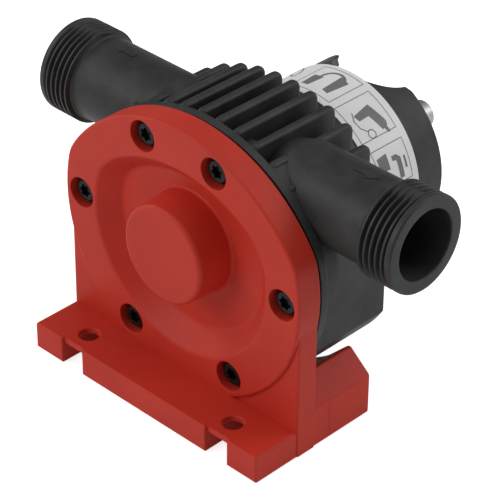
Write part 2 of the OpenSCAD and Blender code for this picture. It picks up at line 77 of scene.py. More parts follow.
BOLT_Y, BOLT_HOLE_R = -7.1, 2.75
CRADLE_R, CRADLE_RECESS_R, CRADLE_STEP, CRADLE_BACK = 43.6, 44.3, 13.5, 28.7
CRADLE_TIP, CRADLE_SIDE_TOP = (33.85, -27.5), -33.4


def put(x, y, z):
    """A point of the object, from millimetres about the shaft axis to metres in the frame."""
    return Vector((x, y - MIDDLE_Y, z + SHAFT_HEIGHT)) * MM


def along_y(u, v, w):
    return put(u, w, v)


def along_z(u, v, w):
    return put(u, v, w)


def rounded(corners, radii, steps=4, closed=True):
    """The corners of an outline, each replaced by an arc."""
    out = []
    n = len(corners)
    for i, (x, y) in enumerate(corners):
        r = radii[i] if isinstance(radii, (list, tuple)) else radii
        if r <= 0 or (not closed and i in (0, n - 1)):
            out.append((x, y))
            continue
        ax, ay = corners[i - 1]
        bx, by = corners[(i + 1) % n]
        d1 = Vector((ax - x, ay - y))
        d2 = Vector((bx - x, by - y))
        # an arc takes at most half of a side that it shares with the next arc
        before = 0.98 if not closed and i == 1 else 0.49
        after = 0.98 if not closed and i == n - 2 else 0.49
        room = min(before * d1.length, after * d2.length)
        d1.normalize()
        d2.normalize()
        half = d1.angle(d2, math.pi) / 2
        if half > math.radians(89):
            out += [(x, y)] * (steps + 1)
            continue
        run = min(r / math.tan(half), room)
        r = run * math.tan(half)
        mid = (d1 + d2).normalized() * (r / math.sin(half))
        cx, cy = x + mid.x, y + mid.y
        a = math.atan2(y + d1.y * run - cy, x + d1.x * run - cx)
        b = math.atan2(y + d2.y * run - cy, x + d2.x * run - cx)
        span = (b - a + math.pi) % (2 * math.pi) - math.pi
        for k in range(steps + 1):
            t = a + span * k / steps
            out.append((cx + r * math.cos(t), cy + r * math.sin(t)))
    return out


def circle(x, y, r, n=48):
    return [(x + r * math.cos(2 * math.pi * k / n), y + r * math.sin(2 * math.pi * k / n)) for k in range(n)]


def swept(r, start, span, count):
    """Points on a circle about the shaft, from an angle over a span."""
    turns = [start + span * k / count for k in range(count + 1)]
    return [(r * math.cos(t), r * math.sin(t)) for t in turns]


def area(loop):
    return sum(a[0] * b[1] - b[0] * a[1] for a, b in zip(loop, loop[1:] + loop[:1])) / 2


def inset(loop, d):
    """The outline moved inwards by d, whichever way round it is drawn."""
    if d == 0:
        return list(loop)
    sign = 1 if area(loop) > 0 else -1
    out = []
    for i, p in enumerate(loop):
        a = Vector(p) - Vector(loop[i - 1])
        b = Vector(loop[(i + 1) % len(loop)]) - Vector(p)
        if a.length < 1e-6:
            a = b
        if b.length < 1e-6:
            b = a
        na = Vector((-a.y, a.x)).normalized()
        nb = Vector((-b.y, b.x)).normalized()
        m = (na + nb) / max(0.4, 1 + na.dot(nb))
        out.append((p[0] + sign * d * m.x, p[1] + sign * d * m.y))
    return out


def edge_steps(w0, w1, r0, r1, steps=4):
    """Depths and insets that round both ends of a slab."""
    out = []
    for k in range(steps + 1 if r0 else 1):
        t = math.pi / 2 * k / steps
        out.append((w0 + r0 * (1 - math.cos(t)), r0 * (1 - math.sin(t))))
    for k in range(steps + 1 if r1 else 1):
        t = math.pi / 2 * (1 - k / steps)
        out.append((w1 - r1 * (1 - math.cos(t)), r1 * (1 - math.sin(t))))
    return out


def ring_of(bm, points):
    return [bm.verts.new(p) for p in points]


def level(bm, points, w, place=along_y):
    """The verts of an outline at a depth, and its flat points."""
    return ring_of(bm, [place(u, v, w) for u, v in points]), points


def join_rings(bm, rings, closed=False):
    """Faces between each ring and the next, and from the last to the first if closed."""
    for a, b in zip(rings, rings[1:] + (rings[:1] if closed else [])):
        for i in range(len(a)):
            j = (i + 1) % len(a)
            bm.faces.new((a[i], a[j], b[j], b[i]))


def join_levels(bm, levels):
    join_rings(bm, [ring for ring, _ in levels])


def inside(x, y, loops):
    """Even-odd test of a point against a set of loops."""
    hit = False
    for pts in loops:
        for (ax, ay), (bx, by) in zip(pts, pts[1:] + pts[:1]):
            if (ay > y) != (by > y) and x < ax + (y - ay) * (bx - ax) / (by - ay):
                hit = not hit
    return hit


def cap(bm, loops, place, w):
    """A flat face with holes at a depth; the loops are pairs of verts and flat points."""
    verts, flat, edges = [], [], []
    for vs, pts in loops:
        first = len(verts)
        verts += vs
        flat += [Vector(p) for p in pts]
        edges += [(first + k, first + (k + 1) % len(vs)) for k in range(len(vs))]
    spots, _, tris, origin, _, _ = delaunay_2d_cdt(flat, edges, [], 0, 1e-5)
    borders = [[tuple(p) for p in pts] for _, pts in loops]
    made = {}
    for tri in tris:
        mid = sum((spots[i] for i in tri), Vector((0, 0))) / 3
        if inside(mid.x, mid.y, borders):
            for i in tri:
                if i not in made:
                    made[i] = verts[origin[i][0]] if origin[i] else bm.verts.new(place(*spots[i], w))
            corner = [made[i] for i in tri]
            if len(set(corner)) == 3:
                bm.faces.new(corner)


def slab(bm, outer, w0, w1, r0=0.0, r1=0.0, holes=(), place=along_y, steps=4, hole_r=None):
    """A plate between two depths, its outer and hole edges rounded at both faces. A rounded
    corner of the outline that stands out is at least as round as the edges."""
    first, last = [], []
    for loop, way in [(outer, 1)] + [(h, -1) for h in holes]:
        rims = (hole_r, hole_r) if way < 0 and hole_r is not None else (r0, r1)
        levels = [level(bm, inset(loop, way * d), w, place) for w, d in edge_steps(w0, w1, *rims, steps)]
        join_levels(bm, levels)
        first.append(levels[0])
        last.append(levels[-1])
    cap(bm, first, place, w0)
    cap(bm, last, place, w1)


def turn(bm, profile, place, n=96, closed=True):
    """A profile of (radius, depth) spun about the depth axis."""
    rings = [level(bm, circle(0, 0, r, n), w, place)[0] for r, w in profile]
    join_rings(bm, rings, closed)
    return rings


def linear(code):
    """An sRGB hex colour as the linear colour that Blender's sockets take."""
    out = []
    for k in (1, 3, 5):
        c = int(code[k:k + 2], 16) / 255
        out.append(c / 12.92 if c <= 0.04045 else ((c + 0.055) / 1.055) ** 2.4)
    return (*out, 1.0)


def add(tree, kind, settings=None, **links):
    """A node with its settings; a link goes to the input of that name, or number as _3."""
    node = tree.nodes.new(kind)
    for key, value in (settings or {}).items():
        setattr(node, key, value)
    for key, value in links.items():
        spot = node.inputs[int(key[1:])] if key[0] == "_" else node.inputs[key.replace("_", " ")]
        if isinstance(value, bpy.types.NodeSocket):
            tree.links.new(value, spot)
        else:
            spot.default_value = value
    return node


def finish_of(name, colour, **surface):
    """A new material with one Principled shader, and its tree to add the surface to."""
    m = bpy.data.materials.new(name)
    m.use_nodes = True
    m.diffuse_color = linear(colour)
    shader = m.node_tree.nodes["Principled BSDF"]
    shader.inputs["Base Color"].default_value = linear(colour)
    for key, value in surface.items():
        shader.inputs[key.replace("_", " ")].default_value = value
    return m, m.node_tree, shader


def grain(tree, shader, size_mm, depth, stretch=(1, 1, 1)):
    """Fine relief of a real grain size on Object coordinates."""
    place = add(tree, "ShaderNodeTexCoord").outputs["Object"]
    scaled = add(tree, "ShaderNodeMapping", Vector=place, Scale=stretch).outputs[0]
    noise = add(tree, "ShaderNodeTexNoise", Vector=scaled, Scale=1 / (size_mm * MM), Detail=3.0, Roughness=0.6)
    bump = add(tree, "ShaderNodeBump", Height=noise.outputs["Fac"], Strength=depth, Distance=0.0002)
    tree.links.new(bump.outputs[0], shader.inputs["Normal"])
    return scaled, noise


def shade_of(tree, shader, value, stops):
    """Colours the base by a value through a ramp between two stops of (place, hex)."""
    ramp = add(tree, "ShaderNodeValToRGB", Fac=value)
    for element, (p, c) in zip(ramp.color_ramp.elements, stops):
        element.position, element.color = p, linear(c)
    tree.links.new(ramp.outputs[0], shader.inputs["Base Color"])


def stock(name, colour, size_mm, depth, stops=(), stretch=(1, 1, 1), **surface):
    """A material with a fine relief, and colours that follow it if stops are given."""
    material, tree, shader = finish_of(name, colour, **surface)
    _, noise = grain(tree, shader, size_mm, depth, stretch)
    if stops:
        shade_of(tree, shader, noise.outputs["Fac"], stops)
    return material


def placed(name, data):
    """A new object of the data, linked to the scene."""
    obj = bpy.data.objects.new(name, data)
    bpy.context.scene.collection.objects.link(obj)
    return obj


def piece(name, bm, material, body, nodes=(), sharp=38):
    """Turns finished mesh data into a piece that rides on its body."""
    bmesh.ops.remove_doubles(bm, verts=bm.verts, dist=2e-7)
    bmesh.ops.dissolve_degenerate(bm, dist=1e-7, edges=bm.edges)
    bmesh.ops.recalc_face_normals(bm, faces=bm.faces)
    mesh = bpy.data.meshes.new(name)
    bm.to_mesh(mesh)
    bm.free()
    mesh.materials.append(material)
    mesh.shade_smooth()
    mesh.set_sharp_from_angle(angle=math.radians(sharp))
    obj = placed(name, mesh)
    even = obj.modifiers.new("even faces", "WEIGHTED_NORMAL")
    even.keep_sharp = True
    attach(obj, body)
    if nodes:
        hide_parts(*nodes)
    return obj


def softer(a, b, k):
    """The smaller of two radii, with the crossing rounded."""
    h = max(k - abs(a - b), 0) / k
    return min(a, b) - h * h * k / 4


def arc_reach(t, r, drop):
    """How far a ray at angle t goes to an arc whose centre lies below the shaft."""
    return -drop * math.sin(t) + math.sqrt(r * r - (drop * math.cos(t)) ** 2)


def disc_reach(t, less=0.0):
    return softer(DISC_R - less, arc_reach(t, CROWN_R - less, CROWN_DROP), 0.6)


def disc_loop(less=0.0):
    out = []
    for k in range(AROUND):
        t = 2 * math.pi * k / AROUND
        out.append((disc_reach(t, less) * math.cos(t), disc_reach(t, less) * math.sin(t)))
    return out


bm = bmesh.new()
# dished face, boss and rounded rim, as rings that each follow the flattened outline
dish = []
for k in range(AROUND):
    t = 2 * math.pi * k / AROUND
    lip = softer(DISH_R, arc_reach(t, DISH_CROWN_R, DISH_CROWN_DROP), 3.0)
    low = softer(DISH_FLOOR_R, arc_reach(t, DISH_CROWN_FLOOR_R, DISH_CROWN_DROP), 3.0)
    line = rounded([(lip + DISH_LIP, 0), (lip, 0), (low, DISH_DEPTH), (BOSS_ROOT_R, DISH_DEPTH),
                    (BOSS_R, -BOSS_STANDS), (BOSS_R - 4, -BOSS_STANDS)],
                   [0, 2.0, 2.2, 0.8, 1.3, 0], steps=5, closed=False)
    dish.append([(r * math.cos(t), r * math.sin(t), y) for r, y in line])
rings = [ring_of(bm, [put(dish[k][i][0], dish[k][i][2], dish[k][i][1]) for k in range(AROUND)])
         for i in range(len(dish[0]))]
join_rings(bm, rings)
bm.faces.new(rings[-1])
face = [(rings[0], [column[0][:2] for column in dish])]
rim = [level(bm, disc_loop(d), w) for w, d in edge_steps(0, DISC_T, 0.75, 0.3, 5)]
join_levels(bm, rim)
for x, z in SCREW_PLACES:
    line = rounded([(SEAT_BORE_R + 0.22, 0), (SEAT_BORE_R, 0), (SEAT_BORE_R, SCREW_SEAT), (SCREW_HOLE_R, SCREW_SEAT)],
                   [0, 0.2, 0.2, 0], steps=3, closed=False)
    seat = [level(bm, circle(x, z, r), w) for r, w in line]
    join_levels(bm, seat)
    bm.faces.new(seat[-1][0])
    face.append(seat[0])
cap(bm, [rim[0]] + face, along_y, 0)
# blind pocket for washer and bush at the back
pocket = [level(bm, circle(0, 0, r, 64), w) for r, w in (
    (WASHER_SEAT_R, DISC_T), (WASHER_SEAT_R, WASHER_SEAT), (BUSH_BORE_R, WASHER_SEAT), (BUSH_BORE_R, BUSH_BORE_END))]
join_levels(bm, pocket)
bm.faces.new(pocket[-1][0])
cap(bm, [rim[-1], pocket[0]], along_y, DISC_T)
# upright plate round the lower half of the disc
low = math.asin(-PLATE_TOP / PLATE_ARC_R)
slab(bm, [(-PLATE_HALF, -SHAFT_HEIGHT), (PLATE_HALF, -SHAFT_HEIGHT), (PLATE_HALF, PLATE_TOP)]
     + swept(PLATE_ARC_R, -low, -(math.pi - 2 * low), 90) + [(-PLATE_HALF, PLATE_TOP)],
     PLATE_FRONT, DISC_T - 0.02, 0.65, 0.4)
# foot: three blocks, and webs over the channels with a bolt hole in each
a, b = CHANNEL
for lo, hi, left, right in ((-FOOT_HALF, -b, FOOT_ROUND, 0), (-a, a, 0, 0), (b, FOOT_HALF, 0, FOOT_ROUND)):
    corners = [(lo, -SHAFT_HEIGHT), (hi, -SHAFT_HEIGHT), (hi, FOOT_TOP), (lo, FOOT_TOP)]
    slab(bm, rounded(corners, [0, 0, right, left]), FOOT_FRONT, DISC_T, 0.5, 0)
for lo, hi in ((-b, -a), (a, b)):
    slab(bm, [(lo, FOOT_FRONT + 1), (hi, FOOT_FRONT + 1), (hi, DISC_T), (lo, DISC_T)], CHANNEL_TOP, FOOT_TOP,
         holes=[circle((lo + hi) / 2, BOLT_Y, BOLT_HOLE_R)], place=along_z, hole_r=0.35)
# cradle, with a wider hollow next to the disc
for w0, w1, r, r1 in ((DISC_T - 0.15, CRADLE_STEP, CRADLE_RECESS_R, 0),
                      (CRADLE_STEP - 0.1, CRADLE_BACK, CRADLE_R, 0.6)):
    t = math.atan2(CRADLE_TIP[1], CRADLE_TIP[0])
    arc = swept(r, t, -math.pi - 2 * t, 48)
    corners = [(-FOOT_HALF, -SHAFT_HEIGHT), (-b, -SHAFT_HEIGHT), (-b, CHANNEL_TOP), (-a, CHANNEL_TOP),
               (-a, -SHAFT_HEIGHT), (a, -SHAFT_HEIGHT), (a, CHANNEL_TOP), (b, CHANNEL_TOP), (b, -SHAFT_HEIGHT),
               (FOOT_HALF, -SHAFT_HEIGHT)]
    tip = rounded([(FOOT_HALF, -40), (FOOT_HALF, CRADLE_SIDE_TOP), arc[0], arc[6]], [0, 1.3, 1.0, 0],
                  closed=False)[1:-1]
    slab(bm, corners + tip + arc[6:-6] + [(-x, z) for x, z in tip[::-1]], w0, w1, 0, r1)

red, tree, shader = finish_of("moulded red polyamide", "#CC3626", Roughness=0.5, Specular_IOR_Level=0.28)
# polyamide from an eroded mould: an even satin skin with faint clouding and a fine grain
place, _ = grain(tree, shader, 0.45, 0.10)
cloud = add(tree, "ShaderNodeTexNoise", Vector=place, Scale=60.0, Detail=2.0)
shade_of(tree, shader, cloud.outputs["Fac"], [(0.3, "#C63323"), (0.7, "#D13927")])
piece("cover_moulding", bm, red, "pump_body", ["front_cover", "cover_cradle"])

# ---------------------------------------------------------------- gasket
# Flat die-cut rubber sheet between cover and housing. Its edge lies a millimetre
# inside the mouldings and shows as a dark joint line.

CHAMBER_R, CAM_R, CAM_DROP = 28.0, 41.5, 20.0
GASKET_BACK = 8.4


def chamber_loop(wall=0.0):
    out = []
    for k in range(AROUND // 2):
        t = 4 * math.pi * k / AROUND
        r = min(CHAMBER_R + wall, arc_reach(t, CAM_R + wall, CAM_DROP))
        out.append((r * math.cos(t), r * math.sin(t)))
    return out


bm = bmesh.new()
slab(bm, disc_loop(1.0), DISC_T, GASKET_BACK, 0.1, 0.1, holes=[chamber_loop()], steps=2)
# nitrile sheet: dull black with a faint talc bloom
rubber = stock("die-cut nitrile sheet", "#101010", 0.3, 0.2, Roughness=0.75)
piece("joint_sheet", bm, rubber, "pump_body", ["cover_gasket"])

# ---------------------------------------------------------------- housing
# Black glass-filled polyamide: flange, pump chamber, ten cooling ribs, two threaded
# outlets and the rear barrel whose skirt guides the drill's chuck.

FLANGE_BACK, CHAMBER_BACK, BODY_BACK = 11.0, 34.0, 39.2
BODY_HALF, BODY_R, WALL = 35.9, 41.6, 4
FRONT_STRETCH, OVERLAP, SKIN = 15.0, 0.4, 0.02
RIB_PITCH, RIB_T, RIB_BACK, RIB_EDGE = 6.11, 2.6, 39.8, 1.1
RIBS_OUT = 4.5 * RIB_PITCH + RIB_T / 2
SIDE_TOP, SIDE_STEP = 19.5, 27.0
OUTLET_Y, OUTLET_Z, OUTLET_END = 22.4, 19.3, 62.0
PIPE_IN, PORT_R = 38.1, 9.0
POCKETS = ((-29, -15), (-53, -32.5), (-87.5, -67))
POCKET_IN_R, POCKET_OUT_R, POCKET_SIDE = 31.6, 38.3, 33.4
CHEEK_R, CHEEK_BACK, CHEEK_IN, CHEEK_TOP, CHEEK_LOW = 39.8, 16.5, 34, 18, -10
HUB_OPENING_R, PORT_CUT = 20, (18.0, 50.0)
SCREW_BOSS_R, SCREW_BOSS_BACK = 3.4, 14.9


def crown_z(x, less=0.3):
    return math.sqrt((CROWN_R - less) ** 2 - x * x) - CROWN_DROP


def core_z(x):
    return min(math.sqrt((CHAMBER_R + WALL) ** 2 - x * x), math.sqrt((CAM_R + WALL) ** 2 - x * x) - CAM_DROP)


def body_loop(side_top=None):
    """The body's cross-section without the ribs."""
    half = []
    for k in range(25):
        x = RIBS_OUT * k / 24
        half.append((x, core_z(x)))
    for k in range(9):
        x = RIBS_OUT + (BODY_HALF - RIBS_OUT) * k / 8
        half.append((x, min(crown_z(x), side_top or 99)))
    low = math.asin(BODY_HALF / BODY_R)
    half += [(BODY_R * math.sin(low * (1 - k / 40)), -BODY_R * math.cos(low * (1 - k / 40))) for k in range(41)]
    return half[::-1] + [(-x, z) for x, z in half[1:-1]]


def pocket_loops():
    """Hollows in the rear face that keep the walls thin."""
    out = []
    for t0, t1 in POCKETS:
        for side in (1, -1):
            loop = []
            for r, start, end in ((POCKET_OUT_R, t0, t1), (POCKET_IN_R, t1, t0)):
                for k in range(9):
                    t = math.radians(start + (end - start) * k / 8)
                    loop.append((side * min(r * math.cos(t), POCKET_SIDE), r * math.sin(t)))
            out.append(loop)
    return out


def object_of(bm, name):
    """A plain object of the mesh data, for a modifier to work on."""
    bmesh.ops.remove_doubles(bm, verts=bm.verts, dist=1e-7)
    bmesh.ops.recalc_face_normals(bm, faces=bm.faces)
    mesh = bpy.data.meshes.new(name)
    bm.to_mesh(mesh)
    bm.free()
    return placed(name, mesh)


def carve(into, bm, tools):
    """Adds closed mesh data to another after cutting the tools out of it."""
    block = object_of(bm, "block")
    for tool in tools:
        cut = block.modifiers.new("cut", "BOOLEAN")
        cut.operation, cut.solver, cut.object = "DIFFERENCE", "EXACT", tool
    dg = bpy.context.evaluated_depsgraph_get()
    mesh = bpy.data.meshes.new_from_object(block.evaluated_get(dg), depsgraph=dg)
    into.from_mesh(mesh)
    bpy.data.objects.remove(block)
    bpy.data.meshes.remove(mesh)


def outlet_place(side):
    """Places points about an outlet's axis, the depth counted outwards from the middle."""
    return lambda u, v, w: put(side * w, OUTLET_Y + u, OUTLET_Z + v)


# the ports run through the body's sides into the chamber
ports = []
for side in (1, -1):
    cut = bmesh.new()
    for ring in turn(cut, [(PORT_R, w) for w in PORT_CUT], outlet_place(side), n=64, closed=False):
        cut.faces.new(ring)
    ports.append(object_of(cut, "port"))

bm = bmesh.new()
slab(bm, disc_loop(0.3), GASKET_BACK, FLANGE_BACK, 0.25, 0.5, holes=[chamber_loop()])
# body in three stretches round the chamber: closed, pocketed, and pocketed with lower sides;
# each overlaps the one before and lies a hair inside it, so that no two faces share an edge
low_sides = body_loop(SIDE_TOP)
for outline, w0, w1, r1, holes in (
        (body_loop(), FLANGE_BACK - OVERLAP, FRONT_STRETCH, 0.3, []),
        (inset(body_loop(), SKIN), FRONT_STRETCH - OVERLAP, SIDE_STEP, 0.8, pocket_loops()),
        (inset(low_sides, 2 * SKIN), SIDE_STEP - 1.0, CHAMBER_BACK, 0.3, pocket_loops())):
    part = bmesh.new()
    slab(part, outline, w0, w1, 0, r1, holes=[chamber_loop()] + holes)
    carve(bm, part, ports)
# rear wall, open in the middle for the barrel
slab(bm, inset(low_sides, 3 * SKIN), CHAMBER_BACK - OVERLAP, BODY_BACK, 0, 0.8,
     holes=[circle(0, 0, HUB_OPENING_R)] + pocket_loops())
# cheeks that fill the corner between flange and outlets
for side in (1, -1):
    arc = []
    for t in range(-6, 56, 2):
        r = min(CHEEK_R, arc_reach(math.radians(t), CROWN_R - 0.37, CROWN_DROP))
        arc.append((side * r * math.cos(math.radians(t)), r * math.sin(math.radians(t))))
    inner = [(arc[-1][0], CHEEK_TOP), (side * CHEEK_IN, CHEEK_TOP), (side * CHEEK_IN, CHEEK_LOW)]
    slab(bm, arc + inner, FLANGE_BACK - 0.5, CHEEK_BACK, steps=1)
# bosses that take the screws
for x, z in SCREW_PLACES:
    slab(bm, circle(x, z, SCREW_BOSS_R, 32), FLANGE_BACK - 0.5, SCREW_BOSS_BACK, 0, 0.4,
         holes=[circle(x, z, SCREW_HOLE_R, 16)])
black, tree, shader = finish_of("glass-filled black polyamide", "#2F3030", Roughness=0.5, Specular_IOR_Level=0.38)
# glass-filled polyamide: near black, slightly grey where fibres reach the skin
place, _ = grain(tree, shader, 0.5, 0.16)
cloud = add(tree, "ShaderNodeTexNoise", Vector=place, Scale=90.0, Detail=6.0, Roughness=0.65)
shade_of(tree, shader, cloud.outputs["Fac"], [(0.35, "#252626"), (0.68, "#3B3C3C")])
piece("housing_body", bm, black, "pump_body", ["pump_housing"], sharp=26)
for tool in ports:
    bpy.data.objects.remove(tool)

# ---------------------------------------------------------------- ribs
# Ten upright ribs moulded on the body, each up to the crown's height at its place,
# with rounded corners and soft edges.


def bake(obj, name, material, body_name, nodes=()):
    """Turns a piece that modifiers make into plain mesh data."""
    dg = bpy.context.evaluated_depsgraph_get()
    mesh = bpy.data.meshes.new_from_object(obj.evaluated_get(dg), depsgraph=dg)
    bpy.data.objects.remove(obj)
    bm = bmesh.new()
    bm.from_mesh(mesh)
    bpy.data.meshes.remove(mesh)
    return piece(name, bm, material, body_name, nodes)


def tree_of(name, **inputs):
    """A geometry tree with named inputs, and the node that gives them."""
    tree = bpy.data.node_groups.new(name, "GeometryNodeTree")
    tree.interface.new_socket("Geometry", in_out="OUTPUT", socket_type="NodeSocketGeometry")
    for key, value in inputs.items():
        kind = "NodeSocketInt" if isinstance(value, int) else "NodeSocketFloat"
        if isinstance(value, bpy.types.Object):
            kind = "NodeSocketObject"
        if isinstance(value, bpy.types.Material):
            kind = "NodeSocketMaterial"
        tree.interface.new_socket(key, in_out="INPUT", socket_type=kind)
    return tree, tree.nodes.new("NodeGroupInput")


def grow(name, tree, inputs):
    """An object that only carries the tree, its inputs set by identifier."""
    obj = placed(name, bpy.data.meshes.new(name))
    mod = obj.modifiers.new(name, "NODES")
    mod.node_group = tree
    for item in tree.interface.items_tree:
        if item.in_out == "INPUT" and item.name in inputs:
            mod[item.identifier] = inputs[item.name]
    return obj


def close_tree(tree, given, geometry):
    """Ends a tree in real mesh data with its material set."""
    real = add(tree, "GeometryNodeRealizeInstances", Geometry=geometry)
    made = add(tree, "GeometryNodeSetMaterial", Geometry=real.outputs[0], Material=given.outputs["Material"])
    add(tree, "NodeGroupOutput", Geometry=made.outputs[0])


def math_node(tree, operation, a, b=0.0):
    return add(tree, "ShaderNodeMath", {"operation": operation}, _0=a, _1=b).outputs[0]


values = {"Ribs": 10, "Pitch": RIB_PITCH * MM, "Thickness": RIB_T * MM, "Crown radius": (CROWN_R - 0.05) * MM,
          "Crown drop": CROWN_DROP * MM, "Length": (RIB_BACK - FLANGE_BACK + 1) * MM, "Height": 12.0 * MM,
          "Corner": 2.3 * MM, "Material": black}
tree, given = tree_of("cooling ribs", **values)
g = given.outputs
steps = math_node(tree, "SUBTRACT", g["Ribs"], 1.0)
first = math_node(tree, "MULTIPLY", math_node(tree, "MULTIPLY", steps, -0.5), g["Pitch"])
start = add(tree, "ShaderNodeCombineXYZ", X=first).outputs[0]
step = add(tree, "ShaderNodeCombineXYZ", X=g["Pitch"]).outputs[0]
line = add(tree, "GeometryNodeMeshLine", {"mode": "OFFSET"}, Count=g["Ribs"], Start_Location=start, Offset=step)
x = add(tree, "ShaderNodeSeparateXYZ", Vector=add(tree, "GeometryNodeInputPosition").outputs[0]).outputs["X"]
squared = math_node(tree, "MULTIPLY", g["Crown radius"], g["Crown radius"])
rise = math_node(tree, "SQRT", math_node(tree, "SUBTRACT", squared, math_node(tree, "MULTIPLY", x, x)))
rise = math_node(tree, "SUBTRACT", rise, g["Crown drop"])
rise = math_node(tree, "SUBTRACT", rise, math_node(tree, "MULTIPLY", g["Height"], 0.5))
lift = add(tree, "ShaderNodeCombineXYZ", Z=rise).outputs[0]
raised = add(tree, "GeometryNodeSetPosition", Geometry=line.outputs[0], Offset=lift).outputs[0]
side = add(tree, "GeometryNodeCurvePrimitiveQuadrilateral", {"mode": "RECTANGLE"}, Width=g["Length"],
           Height=g["Height"])
side = add(tree, "GeometryNodeFilletCurve", {"mode": "POLY"}, Curve=side.outputs[0], Count=6, Radius=g["Corner"])
flat = add(tree, "GeometryNodeFillCurve", {"mode": "NGONS"}, Curve=side.outputs[0])
upright = add(tree, "GeometryNodeTransform", Geometry=flat.outputs[0], Rotation=(math.pi / 2, 0, math.pi / 2))
centred = add(tree, "ShaderNodeCombineXYZ", X=math_node(tree, "MULTIPLY", g["Thickness"], -0.5)).outputs[0]
upright = add(tree, "GeometryNodeTransform", Geometry=upright.outputs[0], Translation=centred)
thick = add(tree, "GeometryNodeExtrudeMesh", {"mode": "FACES"}, Mesh=upright.outputs[0],
            Offset=(1, 0, 0), Offset_Scale=g["Thickness"], Individual=False)
other = add(tree, "GeometryNodeFlipFaces", Mesh=upright.outputs[0])
both = add(tree, "GeometryNodeJoinGeometry")
tree.links.new(thick.outputs[0], both.inputs[0])
tree.links.new(other.outputs[0], both.inputs[0])
solid = add(tree, "GeometryNodeMergeByDistance", Geometry=both.outputs[0], Distance=1e-6)
many = add(tree, "GeometryNodeInstanceOnPoints", Points=raised, Instance=solid.outputs[0])
close_tree(tree, given, many.outputs[0])
ribs = grow("cooling ribs", tree, values)
soft = ribs.modifiers.new("rib edges", "BEVEL")
soft.width, soft.segments, soft.limit_method, soft.angle_limit = RIB_EDGE * MM, 4, "ANGLE", math.radians(45)
ribs = bake(ribs, "housing_ribs", black, "pump_body")
ribs.data.transform(Matrix.Translation(put(0, (FLANGE_BACK - 1 + RIB_BACK) / 2, 0)))

# ---------------------------------------------------------------- outlets
# Two pipe stubs moulded with the housing, each with a 3/4 inch hose thread, a plain
# collar at the end, and a raised flow arrow on top.

THREAD_ROOT, THREAD_CREST, THREAD_PITCH, THREAD_TURNS = 12.06, 13.22, 1.814, 4.6
THREAD_START, THREAD_END = 50.9, 59.6
PIPE_R, PIPE_BORE_R, COLLAR_R = 11.6, 9.5, 13.2
LAND_IN, LAND_OUT, LAND_HALF, LAND_R, LAND_RISE = 51.0, 60.2, 16, 11.95, 1.2
ARROW_BASE, ARROW_TOP = -0.4, 0.2
# a copy of the chamber's space, a hair smaller, trims the pipes' inner ends
cut = bmesh.new()
slab(cut, chamber_loop(-0.02), 6, 36)
chamber = object_of(cut, "chamber")
for side in (1, -1):
    bm = bmesh.new()
    spot = outlet_place(side)
    line = rounded([(PORT_R, 16.0), (9.6, 16.0), (10.4, 18.5), (PIPE_R, 22.5), (PIPE_R, THREAD_START - 0.5),
                    (THREAD_ROOT, THREAD_START), (THREAD_ROOT, THREAD_END), (COLLAR_R, LAND_OUT),
                    (COLLAR_R, OUTLET_END), (PIPE_BORE_R, OUTLET_END), (PIPE_BORE_R, PIPE_IN), (PORT_R, PIPE_IN)],
                   [0, 0, 3.0, 3.0, 0.3, 0.3, 0.3, 0.3, 0.6, 0.45, 0, 0], steps=3)
    pipe = bmesh.new()
    turn(pipe, line, spot, n=128)
    carve(bm, pipe, [chamber])
    # lands on the mould's parting line, where the thread fades out
    for up in (1, -1):
        turns = [math.radians(LAND_HALF - 2 * k) for k in range(LAND_HALF + 1)]
        reach = [LAND_R + LAND_RISE * math.cos(t * 5.6) ** 0.7 for t in turns]
        shape = [(r * math.sin(t), up * r * math.cos(t)) for t, r in zip(turns, reach)]
        slab(bm, shape + [(-2.8, up * 11.2), (2.8, up * 11.2)], LAND_IN, LAND_OUT, place=spot, steps=1)
    # raised arrow that points out of the pipe
    shape = [(38.5, -0.9), (43.0, -0.9), (43.0, -2.1), (46.6, 0.0), (43.0, 2.1), (43.0, 0.9), (38.5, 0.9)]
    arrow = rounded(shape, 0.25, steps=2)
    faces = [ring_of(bm, [spot(y, math.sqrt(PIPE_R ** 2 - y * y) + lift, x) for x, y in arrow])
             for lift in (ARROW_BASE, ARROW_TOP)]
    join_rings(bm, faces)
    for ring in faces:
        bm.faces.new(ring)
    word = "right" if side > 0 else "left"
    piece("pipe_" + word, bm, black, "pump_body", ["outlet_" + word])

bpy.data.objects.remove(chamber)

values = {"Turns": THREAD_TURNS, "Root": THREAD_ROOT * MM, "Rise": THREAD_PITCH * THREAD_TURNS * MM,
          "Base": 0.80 * MM, "Crest": 0.26 * MM, "Depth": (THREAD_CREST - THREAD_ROOT) * MM, "Steps": 96,
          "Material": black}
tree, given = tree_of("pipe thread", **values)
g = given.outputs
helix = add(tree, "GeometryNodeCurveSpiral", Resolution=g["Steps"], Rotations=g["Turns"],
            Start_Radius=g["Root"], End_Radius=g["Root"], Height=g["Rise"], Reverse=False)
turned = add(tree, "GeometryNodeSetCurveNormal", {"mode": "Z_UP"}, Curve=helix.outputs[0])
along = add(tree, "GeometryNodeSplineParameter").outputs["Factor"]
# the ridge grows from nothing over the first ninth of its length, and back at the end
run_in = math_node(tree, "MINIMUM", along, math_node(tree, "SUBTRACT", 1.0, along))
run_in = math_node(tree, "MULTIPLY", run_in, 9.0)
run_in = math_node(tree, "MINIMUM", math_node(tree, "ADD", run_in, 0.05), 1.0)
tapered = add(tree, "GeometryNodeSetCurveRadius", Curve=turned.outputs[0], Radius=run_in)
